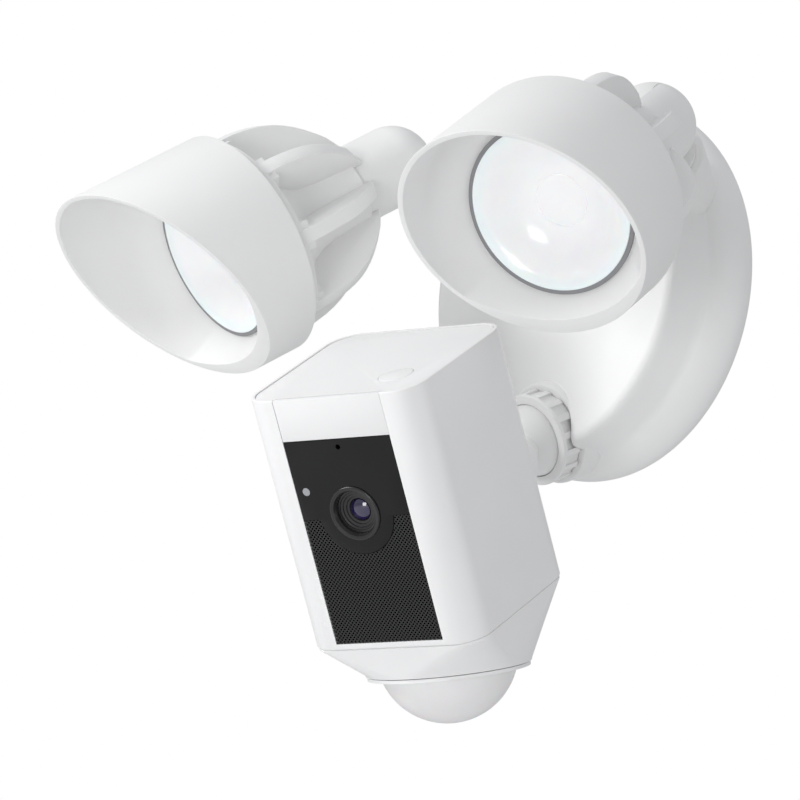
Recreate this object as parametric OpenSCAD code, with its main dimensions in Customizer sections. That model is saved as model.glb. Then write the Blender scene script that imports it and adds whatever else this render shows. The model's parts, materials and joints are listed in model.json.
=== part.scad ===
// Floodlight security camera: a round wall base that carries two adjustable
// lamp heads on knuckle arms and a camera module on a ball joint.
// Frame: +Z up, the wall is the plane Y = 0 and the object stands out towards
// -Y, and X runs to the right of a person who faces the wall.
// The origin is the centre of the base's back face.

/* [Base] */
// Radius of the base's fat rim
base_r = 68; // [60:1:80]
// Radius of the rim's round section
rim_round = 13; // [10:1:14]
// How far the plateau's front face stands off the wall
plateau_out = 40; // [34:1:46]
// Radius of the plateau's side wall
plateau_r = 62.5; // [56:0.5:63]
// Wall thickness of the base casting
base_wall = 3; // [2:0.5:4]

/* [Wall bracket] */
// Distance between the two wall box screws
wall_screw_gap = 88.9; // [80:0.1:96]
// Radius of the wall box screw holes
wall_hole_r = 2.5; // [2:0.1:3]
// Distance between the two cap nuts that hold the base
cap_nut_gap = 60; // [56:1:64]

/* [Lamp places] */
// Half the distance between the two lamp knuckles
knuckle_x = 69; // [66:0.5:72]
// How far a knuckle's centre stands off the wall
knuckle_out = 59.5; // [57:0.5:62]
// Height of a knuckle's centre
knuckle_up = 43.5; // [41:0.5:46]
// Outward turn of an arm's axis
arm_turn = 35; // [30:1:40]
// Upward slope of an arm's axis
arm_rise = 21; // [16:1:26]

/* [Lamp directions] */
// Downward tilt of the left lamp
left_tilt = 33; // [25:1:40]
// Sideways turn of the left lamp
left_turn = -12; // [-25:1:0]
// Roll of the left lamp's visor
left_roll = -16; // [-20:1:5]
// Downward tilt of the right lamp
right_tilt = 32; // [25:1:40]
// Sideways turn of the right lamp
right_turn = 21; // [0:1:28]
// Roll of the right lamp's visor
right_roll = -5; // [-10:1:10]

/* [Lamp head] */
// Outside radius of the hood
hood_r = 41.5; // [38:0.5:44]
// Distance from the knuckle to the hood's rear edge
head_reach = 67; // [62:1:72]
// Length of the hood on its long, upper side
visor_long = 54; // [46:1:60]
// Length of the hood on its short, lower side
visor_short = 19; // [16:1:24]
// Thickness of the hood's lip
lip = 1.8; // [1.4:0.1:2.4]
// Radius of the lamp's lens
lens_r = 28.5; // [24:0.5:30]
// Radius of the neck and of the knuckle
neck_r = 15; // [14:0.5:16]
// Number of cooling fins on a lamp head
fin_count = 8; // [6:1:12]
// Thickness of a cooling fin
fin_t = 5.4; // [3:0.1:6]

/* [Camera] */
// Width of the camera module
cam_w = 68; // [64:1:74]
// Depth of the camera module
cam_d = 66.5; // [62:0.5:72]
// Height of the camera module's housing
cam_h = 89.5; // [86:0.5:96]
// Radius of the housing's upright corners
cam_corner = 10.5; // [9:0.5:13]
// Width of the black front panel
panel_w = 42; // [40:1:46]
// Height of the black front panel
panel_h = 72.5; // [68:0.5:76]
// Downward tilt of the camera
cam_tilt = 30.4; // [20:0.1:34]
// Sideways turn of the camera
cam_turn = 18.3; // [5:0.1:20]
// Roll of the camera about its own stem
cam_roll = -3; // [-10:0.5:10]
// Forward lean of the motion sensor under the camera
sensor_lean = 15; // [0:1:20]
// Radius of the motion sensor's dome
dome_r = 23.5; // [20:0.5:25]
// Depth of the motion sensor's dome
dome_h = 18.5; // [12:0.5:20]

/* [Camera mount] */
// How far the ball's centre stands off the wall
ball_out = 40; // [39:0.5:42]
// How far the ball's centre is below the base's centre
ball_down = 56.5; // [55:0.5:58]
// Downward slope of the socket's axis
mount_tilt = 25; // [20:1:28]
// Radius of the mount's ball
ball_r = 13.4; // [13:0.1:13.4]
// Distance from the ball's centre to the camera's back
cam_back = 53.5; // [50:0.5:56]

/* [Hidden] */
$fn = 64;

// Free space of running fits, and of faces that pass each other
run_gap = 0.05;
free_gap = 0.3;
eps = 0.01;

// Colours
white = [0.93, 0.93, 0.92];
soft_white = [0.86, 0.86, 0.86];
frost = [0.95, 0.96, 0.97, 0.8];
black = [0.05, 0.05, 0.06];
steel = [0.7, 0.71, 0.72];
board_green = [0.1, 0.3, 0.18];
rubber = [0.2, 0.2, 0.2];

// ---- Directions ------------------------------------------------------------

// Direction that a piece's front (-Y) takes after a tilt down and a turn
function aim(tilt, turn) = [sin(turn) * cos(tilt), -cos(turn) * cos(tilt), -sin(tilt)];
// Where a local X or Z axis goes after roll, tilt and turn
function turned(v, turn) = [v.x * cos(turn) - v.y * sin(turn), v.x * sin(turn) + v.y * cos(turn), v.z];
function tilted(v, tilt) = [v.x, v.y * cos(tilt) - v.z * sin(tilt), v.y * sin(tilt) + v.z * cos(tilt)];
function rolled(v, roll) = [v.x * cos(roll) + v.z * sin(roll), v.y, v.z * cos(roll) - v.x * sin(roll)];
function placed(v, tilt, turn, roll) = turned(tilted(rolled(v, roll), tilt), turn);
function unit(v) = v / norm(v);
// How far a hinge axis is rolled from a piece's own X axis, about its Y axis
function roll_of(hinge, tilt, turn, roll) =
    atan2(-hinge * placed([0, 0, 1], tilt, turn, roll), hinge * placed([1, 0, 0], tilt, turn, roll));

// side is -1 for the left lamp and 1 for the right one
function knuckle(side) = [side * knuckle_x, -knuckle_out, knuckle_up];
function arm_aim(side) = aim(-arm_rise, side * arm_turn);
function lamp_tilt(side) = side < 0 ? left_tilt : right_tilt;
function lamp_turn(side) = side < 0 ? left_turn : right_turn;
function lamp_roll(side) = side < 0 ? left_roll : right_roll;
function hinge_axis(side) = unit(cross(arm_aim(side), aim(lamp_tilt(side), lamp_turn(side))));
function neck_clock(side) = roll_of(hinge_axis(side), lamp_tilt(side), lamp_turn(side), lamp_roll(side));
function arm_clock(side) = roll_of(hinge_axis(side), -arm_rise, side * arm_turn, 0);

// Places a lamp piece drawn with its knuckle at the origin and its front at -Y
module at_lamp(side)
    translate(knuckle(side))
        rotate([0, 0, lamp_turn(side)])
            rotate([lamp_tilt(side), 0, 0])
                rotate([0, lamp_roll(side), 0])
                    children();

// Places an arm piece drawn with its knuckle at the origin and its root at +Y
module at_arm(side)
    translate(knuckle(side))
        rotate([0, 0, side * arm_turn])
            rotate([-arm_rise, 0, 0])
                children();

ball_at = [0, -ball_out, -ball_down];
// Places a piece of the camera's socket drawn with the ball at the origin and the way out at -Y
module at_mount()
    translate(ball_at)
        rotate([mount_tilt, 0, 0])
            children();

// Places a camera piece drawn with the ball at the origin and its front at -Y
module at_camera()
    translate(ball_at)
        rotate([0, 0, cam_turn])
            rotate([cam_tilt, 0, 0])
                rotate([0, cam_roll, 0])
                    children();

// ---- Small shapes ----------------------------------------------------------

// Turns a shape drawn along +Z so that it runs along -Y
module forward()
    rotate([90, 0, 0])
        children();

// A rod along Y from one y to another
module rod(r, from, to)
    translate([0, from, 0])
        rotate([-90, 0, 0])
            cylinder(r = r, h = to - from);

// A tube along Y
module tube(r, hole, from, to)
    difference() {
        rod(r, from, to);
        rod(hole, from - 1, to + 1);
    }

// A block from its centre in X and Z, and from its two y values
module slab(w, h, from, to)
    translate([-w / 2, from, -h / 2])
        cube([w, to - from, h]);

// A rectangle with round corners about the origin
module round_rect(w, d, r) {
    square([w - 2 * r, d], center = true);
    square([w, d - 2 * r], center = true);
    for (x = [-1, 1], y = [-1, 1])
        translate([x * (w / 2 - r), y * (d / 2 - r)])
            circle(r = r);
}

// A screw with a round head, its head's top at z = 0 and its shank downwards
module screw(shank_r, length, head_r, head_h) {
    translate([0, 0, -length])
        cylinder(r = shank_r, h = length - head_h + eps);
    translate([0, 0, -head_h])
        cylinder(r = head_r, h = head_h);
}

// ---- Base ------------------------------------------------------------------

// Thickness of the foam ring between the rim and the wall
gasket_t = 1.5;
// Radius of the rim's back edge
rim_back_r = base_r - 8;

// The base's outline as radius and height off the wall, shrunk by a wall
module base_outline(wall) {
    translate([base_r - rim_round, rim_round])
        circle(r = rim_round - wall);
    square([rim_back_r - wall, rim_round]);
    square([plateau_r - 3 - wall, plateau_out - wall]);
    translate([0, rim_round])
        square([plateau_r - wall, plateau_out - rim_round - 3 - wall]);
    translate([plateau_r - 3 - wall, plateau_out - 3 - wall])
        circle(r = 3);
}

// Where the shoulder boss starts and ends, measured from the knuckle
boss_near = 18.5;
boss_far = 48;
boss_r = 15;
stub_r = 12;

module base_solid(wall)
    forward()
        rotate_extrude($fn = 128)
            intersection() {
                base_outline(wall);
                translate([0, wall > 0 ? 0 : gasket_t])
                    square([base_r + 1, plateau_out + 2]);
            }

module base_shell()
    color(white)
    difference() {
        union() {
            difference() {
                base_solid(0);
                base_solid(base_wall);
            }
            for (side = [-1, 1])
                at_arm(side)
                    rod(boss_r, boss_near, boss_far);
            at_mount()
                rod(mount_boss_r, ring_rear, mount_boss_far);
            // Pillars that the base's nuts press on
            for (x = [-1, 1])
                translate([x * cap_nut_gap / 2, 0, 0])
                    rod(6, -plateau_out + 1, -8);
            // Posts for the back plate's screws
            for (corner = back_screws)
                translate([corner.x, 0, corner.y])
                    rod(4, -plateau_out + 1, -plate_near - plate_t);
        }
        for (side = [-1, 1])
            at_arm(side)
                rod(stub_r + run_gap, boss_near - 10, boss_far + 30);
        for (x = [-1, 1])
            translate([x * cap_nut_gap / 2, 0, 0])
                rod(stud_r + 0.4, -plateau_out - 1, 0);
        for (corner = back_screws)
            translate([corner.x, 0, corner.y])
                rod(1.5, -20, 0);
        at_mount() {
            // Pocket that the nut turns in
            rod(ring_r + 0.4, -20, ring_rear);
            rod(socket_r + run_gap, -30, socket_len);
            rod(6, 0, mount_boss_far + 1);
        }
    }

plate_near = 3;
plate_t = 3;
plate_r = 56;
stud_r = 2;
back_screws = [[-30, -38], [30, -38], [-12, 48], [12, 48]];
grommet_at = [0, 14];
socket_r = 14.9;
socket_len = 17;

// The plate that closes the base's back
module back_plate()
    color(soft_white)
    difference() {
        rod(plate_r, -plate_near - plate_t, -plate_near);
        for (x = [-1, 1])
            translate([x * cap_nut_gap / 2, 0, 0])
                rod(6.5, -10, 0);
        for (x = [-1, 1])
            translate([x * wall_screw_gap / 2, 0, 0])
                rod(5.5, -10, 0);
        for (corner = back_screws)
            translate([corner.x, 0, corner.y])
                rod(1.9, -10, 0);
        translate([grommet_at.x, 0, grommet_at.y])
            rod(9, -10, 0);
    }

module back_plate_screws()
    color(steel)
    for (corner = back_screws)
        translate([corner.x, -0.8, corner.y])
            rotate([-90, 0, 0])
                screw(1.5 - eps, 16, 3, 2.2);

// Ring that the supply wires pass through
module wire_grommet()
    color(rubber)
    translate([grommet_at.x, 0, grommet_at.y])
        difference() {
            union() {
                rod(9 - eps, -plate_near - plate_t - 2, -plate_near + 1.2);
                rod(11, -plate_near - plate_t - 2, -plate_near - plate_t);
            }
            rod(6, -20, 20);
        }

// Steel strap that is screwed to the wall box
bracket_t = 1.6;
module wall_bracket()
    color(steel)
    difference() {
        union() {
            slab(104, 26, -bracket_t, 0);
            translate([grommet_at.x, 0, grommet_at.y])
                rod(18, -bracket_t, 0);
        }
        for (x = [-1, 1])
            translate([x * wall_screw_gap / 2, 0, 0])
                rod(wall_hole_r, -5, 5);
        for (x = [-1, 1])
            translate([x * cap_nut_gap / 2, 0, 0])
                rod(stud_r, -5, 5);
        translate([grommet_at.x, 0, grommet_at.y])
            rod(12.5, -5, 5);
    }

module bracket_studs()
    color(steel)
    for (x = [-1, 1])
        translate([x * cap_nut_gap / 2, 0, 0]) {
            rod(stud_r, -plateau_out - 5.5, 0);
            rod(4, -bracket_t - 3, -bracket_t);
        }

// Foam ring between the rim and the wall
module wall_gasket()
    color(rubber)
    tube(rim_back_r - 0.4, plate_r + 0.6, -gasket_t + eps, 0);

module cap_nuts()
    color(steel)
    for (x = [-1, 1])
        translate([x * cap_nut_gap / 2, -plateau_out, 0])
            difference() {
                union() {
                    rod(4.2, -6.4, 0);
                    translate([0, -6.4, 0])
                        intersection() {
                            sphere(r = 4.2);
                            rod(5, -5, 0);
                        }
                    rod(6.5, -1.2, 0);
                }
                rod(stud_r, -5.6, 1);
            }

board_out = 14;
module driver_board()
    color(board_green)
    difference() {
        translate([0, 0, -6])
            slab(64, 50, -board_out - 1.6, -board_out);
        translate([grommet_at.x, 0, grommet_at.y])
            rod(8, -30, 0);
        for (x = [-1, 1])
            translate([x * cap_nut_gap / 2, 0, 0])
                rod(6.5, -30, 0);
    }

module driver_parts()
    color(black) {
        // Transformer
        translate([-13, 0, -12])
            slab(20, 22, -board_out - 17, -board_out - 1.6);
        // Capacitors
        for (z = [-22, -8])
            translate([8, 0, z])
                rod(5, -board_out - 16, -board_out - 1.6);
        // Switching regulator
        translate([22, 0, -17])
            slab(10, 16, -board_out - 6, -board_out - 1.6);
    }

module terminal_block()
    color(soft_white)
    difference() {
        translate([-17, 0, 12])
            slab(16, 12, -board_out - 13, -board_out - 1.6);
        for (x = [-22, -17, -12])
            translate([x, 0, 12])
                rod(1.6, -board_out - 14, -board_out - 6);
    }

module siren()
    color(black)
    translate([18, 0, 20])
        difference() {
            rod(12, -plateau_out + base_wall + eps, -board_out - 8);
            rod(2.5, -plateau_out, -plateau_out + base_wall + 6);
        }

// ---- Camera mount ----------------------------------------------------------

liner_out = ball_r + free_gap + 0.9;
// Distances from the ball's centre to the liner's rim, and to the step where the socket widens for it
liner_from = 11;
liner_step = 4.2;
// The nut's front and rear faces, from the ball's centre
ring_front = -3.8;
ring_rear = 4.6;
ring_r = 16.4;
notch_deep = 0.95;
notch_count = 16;
mount_boss_r = 18.2;
mount_boss_far = 20;

module ball_socket()
    color(soft_white)
    at_mount()
        difference() {
            rod(socket_r, 0, socket_len - eps);
            sphere(r = ball_r + free_gap, $fn = 96);
            intersection() {
                sphere(r = liner_out + free_gap, $fn = 96);
                rod(socket_r - 0.1, liner_step, 30);
            }
            rod(4, 0, 60);
        }

// Notched nut that clamps the ball
module locking_ring()
    color(white)
    at_mount()
        difference() {
            rod(ring_r, ring_front, ring_rear - free_gap);
            rod(socket_r + run_gap, -0.2, ring_rear + 1);
            sphere(r = ball_r + free_gap, $fn = 96);
            for (i = [0 : notch_count - 1])
                rotate([0, (i + 0.5) * 360 / notch_count, 0])
                    translate([-2, ring_front + 1.6, ring_r - notch_deep])
                        cube([4, 4.8, 5]);
        }

// Half shell that the ball turns against
module ball_liner()
    color(soft_white)
    at_mount()
        rotate([-90, 0, 0])
            rotate_extrude($fn = 96)
                difference() {
                    circle(r = liner_out);
                    circle(r = ball_r + free_gap);
                    translate([-30, -30])
                        square([60, 30 + liner_from]);
                    translate([-30, -30])
                        square([35, 60]);
                }

stem_r = 6;
cam_boss_r = 12;
cam_boss_end = 20;
module mount_ball()
    color(white)
    at_camera() {
        sphere(r = ball_r, $fn = 96);
        rod(stem_r, -cam_back - 4, 0);
        rod(9, -cam_back - 8, -cam_back - cam_wall - 0.2);
    }

// ---- Lamp arm and knuckle --------------------------------------------------

hinge_pin_r = 2.5;
// Thread at the arm's end, which takes its nut
thread_r = 7.5;
// Gap between the two halves of a knuckle, on each side of the middle plane
half_gap = 0.15;
// Where the neck becomes a whole rod, from the knuckle's centre
neck_from = 17;

// A rod along -Y whose rear end, round the origin, is a dome
module domed_rod(r, length)
    forward()
        rotate_extrude($fn = 96) {
            intersection() {
                circle(r = r);
                translate([0, -r])
                    square(r);
            }
            square([r, length]);
        }

// Half of the knuckle's ball, with the stub that turns in the base's boss
module arm(side)
    color(white)
    at_arm(side)
        difference() {
            rotate([-90, 0, 0])
                rotate_extrude($fn = 96) {
                    intersection() {
                        circle(r = neck_r);
                        translate([0, -neck_r])
                            square(2 * neck_r);
                    }
                    square([stub_r, boss_far]);
                    square([thread_r, boss_far + 6.5]);
                }
            rotate([0, arm_clock(side), 0]) {
                translate([-half_gap, -50, -50])
                    cube([50, 50 + neck_from - 0.5, 100]);
                rotate([0, 90, 0]) {
                    translate([0, 0, -30])
                        cylinder(r = hinge_pin_r, h = 60);
                    translate([0, 0, -30])
                        cylinder(r = 5, h = 30 - 8);
                }
            }
            rod(4, neck_from - 2, 70);
        }

module arm_nut(side)
    color(steel)
    at_arm(side)
        tube(thread_r + 3, thread_r, boss_far + 0.3, boss_far + 5.5);

module knuckle_screw(side)
    color(steel)
    at_arm(side)
        rotate([0, arm_clock(side), 0])
            rotate([0, 90, 0]) {
                translate([0, 0, -8 - 3])
                    cylinder(r = 4.6, h = 3);
                translate([0, 0, -8 - eps])
                    cylinder(r = hinge_pin_r, h = 17);
            }

// ---- Lamp head -------------------------------------------------------------

plate_back = head_reach - 4;
module neck(side)
    color(white)
    at_lamp(side)
        difference() {
            domed_rod(neck_r, plate_back - 12);
            rotate([0, neck_clock(side), 0]) {
                translate([-50 + half_gap, -neck_from, -50])
                    cube([50, 100, 100]);
                rotate([0, 90, 0])
                    cylinder(r = hinge_pin_r + run_gap, h = 10);
            }
            rod(5, -plate_back - 1, -neck_from - 3);
        }

// Outer profile of the fins: distance from the knuckle and radius
fin_outline = [[18, neck_r + 0.5], [22, 21], [27, 25.5], [33, 30], [40, 33.8], [48, 36.2], [57, 37.4]];

// Heatsink: a bowl of thick radial fins on a core
module heatsink(side)
    color(white)
    at_lamp(side)
        difference() {
            union() {
                // Back of the lamp head, behind the lamp's light board
                forward()
                    rotate_extrude()
                        polygon([[neck_r + eps, 22], [neck_r + 2, 22], [neck_r + 3, 44], [23, 54], [35, 59],
                            [37.4, 61], [37.4, head_reach + 2], [neck_r + eps, head_reach + 2]]);
                intersection() {
                    forward()
                        rotate_extrude()
                            polygon(concat([[neck_r + eps, 18]], [for (p = fin_outline) [p[1], p[0]]],
                                [[37.4, head_reach], [neck_r + eps, head_reach]]));
                    for (i = [0 : fin_count - 1])
                        rotate([0, (i + 0.5) * 360 / fin_count, 0])
                            translate([-fin_t / 2, -head_reach, 0])
                                cube([fin_t, head_reach, 50]);
                }
                translate([0, -head_reach, 0])
                    rod(neck_r + 1, -2, 16);
            }
            rod(neck_r + eps, -plate_back + 11.99, 0);
            rod(5, -head_reach - 3, 0);
            for (a = [45 : 90 : 315])
                rotate([0, a, 0])
                    translate([0, 0, 33])
                        rod(1.4, -head_reach - 3, -head_reach + 8);
        }

seat = head_reach + 2;
lens_seat = head_reach + 13;
hood_len = visor_long + 2;
cut_angle = atan2(visor_long - visor_short, 2 * hood_r);
// Space taken from the hood's front by its slanted mouth
module mouth_cut()
    translate([0, -head_reach - (visor_long + visor_short) / 2, 0])
        rotate([cut_angle, 0, 0])
            translate([-100, -100, -100])
                cube([200, 100, 200]);

module hood(side)
    color(white)
    at_lamp(side)
        difference() {
            rod(hood_r, -head_reach - hood_len, -head_reach);
            // Conical inside, from the lens seat to the lip
            forward()
                rotate_extrude()
                    polygon([[0, lens_seat], [lens_r + 1.6, lens_seat],
                        [hood_r - lip, head_reach + visor_short + 8],
                        [hood_r - lip, head_reach + visor_long + 10], [0, head_reach + visor_long + 10]]);
            rod(lens_r - 1.5, -lens_seat - 1, 0);
            rod(37.6, -seat, 0);
            rod(lens_r + 2.5, -lens_seat + 5, 0);
            mouth_cut();
            for (a = [45 : 90 : 315])
                rotate([0, a, 0])
                    translate([0, 0, 33])
                        rod(1.5, -head_reach - 8, -head_reach);
        }

lens_bulge = 6.5;
lens_ball = (lens_r * lens_r + lens_bulge * lens_bulge) / (2 * lens_bulge);
module lens(side)
    color(frost)
    at_lamp(side)
        translate([0, -lens_seat - 1.2, 0]) {
            difference() {
                intersection() {
                    translate([0, lens_ball - lens_bulge, 0])
                        sphere(r = lens_ball, $fn = 128);
                    rod(lens_r, -20, 0);
                }
                translate([0, lens_ball - lens_bulge + 2, 0])
                    sphere(r = lens_ball, $fn = 128);
            }
            tube(lens_r, lens_r - 2.4, -0.5, 1.2 - eps);
        }

module lens_seal(side)
    color(rubber)
    at_lamp(side)
        tube(lens_r + 1.5, lens_r + 0.05, -lens_seat - 0.9, -lens_seat);

module reflector(side)
    color(steel)
    at_lamp(side)
        forward()
            rotate_extrude()
                polygon([[13, seat + 1.8], [14, seat + 1.8], [lens_r - 2.5, lens_seat - 0.6],
                    [lens_r - 2, lens_seat - 0.6], [lens_r - 2, lens_seat], [lens_r - 3.6, lens_seat]]);

module led_board(side)
    color([0.95, 0.9, 0.6])
    at_lamp(side) {
        tube(26, 3, -seat - 1.6, -seat);
        difference() {
            rod(9, -seat - 2.6, -seat - 1.6 + eps);
            rod(3, -seat - 5, 0);
        }
    }

module head_screws(side)
    color(steel)
    at_lamp(side)
        for (a = [45 : 90 : 315])
            rotate([0, a, 0])
                translate([0, -head_reach + 3, 33])
                    rotate([-90, 0, 0])
                        screw(1.4 - eps, 11, 1.4 - eps, 2);

// ---- Camera module ---------------------------------------------------------

cam_wall = 2.5;
cam_front = cam_back + cam_d;
cam_bottom = -29;
cam_top = cam_bottom + cam_h;
panel_low = cam_bottom + 2.2;
panel_top = panel_low + panel_h;
panel_t = 2.2;
cover_t = 2;
lens_at = panel_top - 26.3;
glass_low = panel_top - 27.9;
glass_ring_r = 14.5;
bezel_r = 9.6;
barrel_r = 7.5;
lens_seat_r = 5.9;
light_sensor_at = [-17, panel_top - 17.8];

// A prism with round upright corners, between two heights
module cam_prism(shrink, from, to)
    translate([0, -(cam_front + cam_back) / 2, from])
        linear_extrude(to - from)
            round_rect(cam_w - 2 * shrink, cam_d - 2 * shrink, cam_corner - shrink);

module camera_housing()
    color(white)
    at_camera()
        difference() {
            union() {
                difference() {
                    cam_prism(0, cam_bottom, cam_top);
                    cam_prism(cam_wall, cam_bottom - 1, cam_top + 1);
                }
                // Ledge under the top cover
                difference() {
                    cam_prism(1, cam_top - cover_t - 2, cam_top - cover_t - 0.2);
                    cam_prism(cam_wall + 2, cam_bottom, cam_top + 1);
                }
                // Boss that takes the ball's stem
                rod(cam_boss_r, -cam_back - cam_wall, -cam_boss_end - 4);
                rod(cam_boss_r - 4, -cam_back, -cam_boss_end);
                translate([0, -cam_boss_end - 4, 0])
                    rotate([90, 0, 0])
                        rotate_extrude()
                            translate([cam_boss_r - 4, 0])
                                circle(r = 4);
            }
            // Front opening for the panels
            translate([0, 0, panel_low - 0.1 + cam_h / 2])
                slab(panel_w + 0.3, cam_h, -cam_front - 1, -cam_front + 8);
            // Seat of the top cover
            cam_prism(1.2, cam_top - cover_t - 0.2, cam_top + 1);
            rod(stem_r + run_gap, -cam_back - 20, 0);
        }

// Lid of the housing, with a hole for the setup button
button_out = cam_front - 18.5;
button_x = 17;
button_r = 6;
module top_cover()
    color(soft_white)
    at_camera()
        difference() {
            cam_prism(1.4, cam_top - cover_t, cam_top - 0.3);
            translate([button_x, -button_out, cam_top - 5])
                cylinder(r = button_r + 0.15, h = 10);
            translate([0, 0, cam_top])
                slab(panel_w + 0.5, 20, -cam_front - 1, -cam_front + panel_t + 0.3);
        }

module setup_button()
    color(white)
    at_camera()
        translate([button_x, -button_out, cam_top]) {
            translate([0, 0, -3.6])
                cylinder(r = button_r, h = 3.4);
            translate([0, 0, -4.4])
                cylinder(r = button_r + 1.2, h = 1);
        }

module button_switch()
    color(black)
    at_camera()
        translate([button_x - 3, -button_out - 3, cam_top - 9])
            cube([6, 6, 3]);

// Blank white plate above the black panel
module name_plate()
    color(white)
    at_camera()
        translate([0, 0, (panel_top + cam_top) / 2])
            slab(panel_w, cam_top - panel_top - 0.2, -cam_front, -cam_front + panel_t);

module glass_panel()
    color(black)
    at_camera()
        difference() {
            union() {
                translate([0, 0, (panel_top + glass_low) / 2])
                    slab(panel_w, panel_top - glass_low, -cam_front, -cam_front + panel_t);
                translate([0, 0, lens_at])
                    rod(glass_ring_r, -cam_front, -cam_front + panel_t);
            }
            translate([0, 0, lens_at])
                rod(bezel_r, -cam_front - 1, 0);
            translate([0, 0, panel_top - 2.8])
                rod(0.9, -cam_front - 1, 0);
            translate([light_sensor_at.x, 0, light_sensor_at.y])
                rod(1.4, -cam_front - 1, 0);
        }

// Pierced sheet in front of the speaker
module speaker_grille()
    color(black)
    at_camera()
        difference() {
            translate([0, 0, (panel_low + glass_low) / 2])
                slab(panel_w, glass_low - panel_low - 0.1, -cam_front + 0.1, -cam_front + panel_t);
            translate([0, 0, lens_at])
                rod(glass_ring_r + 0.1, -cam_front - 1, 0);
        }

module lens_ring()
    color(black)
    at_camera()
        translate([0, 0, lens_at])
            tube(bezel_r - eps, barrel_r, -cam_front - 0.8, -cam_front + 4);

module lens_barrel()
    color(black)
    at_camera()
        translate([0, 0, lens_at])
            difference() {
                rod(barrel_r - eps, -cam_front + 1.5, -cam_front + 20);
                rod(lens_seat_r, -cam_front, -cam_front + 4);
                rod(3.7, -cam_front, -cam_front + 21);
            }

module lens_glass()
    color([0.1, 0.1, 0.25])
    at_camera()
        translate([0, -cam_front + 3.9, lens_at])
            intersection() {
                translate([0, 6, 0])
                    sphere(r = 9.2);
                rod(lens_seat_r - eps, -10, 0);
            }

module sensor_board()
    color(board_green)
    at_camera()
        translate([0, 0, lens_at])
            slab(28, 26, -cam_front + 20 + eps, -cam_front + 21.6);

module light_sensor()
    color([0.6, 0.6, 0.65])
    at_camera()
        translate([light_sensor_at.x, 0, light_sensor_at.y])
            rod(1.4 - eps, -cam_front, -cam_front + 3);

module speaker()
    color(black)
    at_camera()
        translate([0, 0, panel_low + 19])
            difference() {
                union() {
                    rod(16, -cam_front + 4, -cam_front + 9);
                    rod(10, -cam_front + 9 - eps, -cam_front + 16);
                }
                translate([0, -cam_front - 9.5, 0])
                    sphere(r = 18);
            }

frame_low = cam_bottom + 3;
frame_high = cam_top - 5.3;
// Inner frame that carries the front parts and the boards
module camera_frame()
    color(soft_white)
    at_camera()
        difference() {
            translate([0, 0, (frame_low + frame_high) / 2])
                slab(panel_w + 12, frame_high - frame_low, -cam_front + panel_t + 6, -cam_front + panel_t + 9);
            translate([0, 0, lens_at])
                rod(9, -cam_front, 0);
            translate([0, 0, panel_low + 19])
                rod(16.2, -cam_front, 0);
            for (x = [-1, 1], z = [cam_bottom + 9, cam_top - 9])
                translate([x * 24, -cam_front + panel_t + 6, z]) {
                    rod(1.6, -1, 4);
                    rod(2.7, -1, 1.9);
                }
        }

module main_board()
    color(board_green)
    at_camera()
        translate([0, 0, 10])
            slab(50, 70, -cam_front + 26, -cam_front + 27.6);

module board_parts()
    color(steel)
    at_camera() {
        translate([0, 0, 18])
            slab(26, 26, -cam_front + 27.6, -cam_front + 31);
        translate([0, 0, -12])
            slab(34, 16, -cam_front + 27.6, -cam_front + 33);
        // Radio antenna
        translate([16, 0, 40])
            slab(12, 5, -cam_front + 27.6, -cam_front + 29);
    }

module camera_seal()
    color(rubber)
    at_camera()
        difference() {
            cam_prism(cam_wall + 0.1, cam_bottom + 0.2, cam_bottom + 1.8);
            cam_prism(cam_wall + 2.5, cam_bottom - 1, cam_bottom + 3);
        }

collar_h = 20.2;
collar_r = 28.5;
// Places a sensor piece drawn with its axis along Z and its front face at z = 0
module at_sensor()
    at_camera()
        translate([0, -(cam_front + cam_back) / 2 - 3.3, cam_bottom - collar_h])
            rotate([-sensor_lean, 0, 0])
                children();

// Tapered skirt that carries the motion sensor's dome
module motion_collar()
    color(soft_white)
    difference() {
        hull() {
            at_camera()
                cam_prism(0.4, cam_bottom - 1, cam_bottom - 0.1);
            at_sensor()
                cylinder(r = collar_r, h = 1);
        }
        at_sensor() {
            translate([0, 0, -1])
                cylinder(r = dome_r - 2, h = 60);
            translate([0, 0, -1])
                cylinder(r = dome_r + 0.1, h = 5);
        }
    }

module motion_dome()
    color(frost)
    at_sensor()
        difference() {
            ball = (dome_r * dome_r + dome_h * dome_h) / (2 * dome_h);
            union() {
                intersection() {
                    translate([0, 0, ball - dome_h])
                        sphere(r = ball, $fn = 128);
                    translate([0, 0, -dome_h - 1])
                        cylinder(r = dome_r, h = dome_h + 1);
                }
                translate([0, 0, -eps])
                    cylinder(r = dome_r, h = 4);
            }
            translate([0, 0, ball - dome_h + 1.5])
                sphere(r = ball, $fn = 128);
            cylinder(r = dome_r - 3, h = 10);
        }

// Round board with three heat sensors
module motion_sensors()
    color(steel)
    at_sensor()
        translate([0, 0, 7]) {
            cylinder(r = dome_r - 2 - eps, h = 1.6);
            for (a = [0 : 120 : 240])
                rotate([0, 0, a])
                    translate([10, 0, -3])
                        cylinder(r = 4, h = 3.1);
        }

module housing_screws()
    color(steel)
    at_camera()
        for (x = [-1, 1], z = [cam_bottom + 9, cam_top - 9])
            translate([x * 24, -cam_front + panel_t + 6, z])
                rotate([90, 0, 0])
                    screw(1.5, 8, 2.6, 1.8);

// ---- Assembly --------------------------------------------------------------

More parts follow.
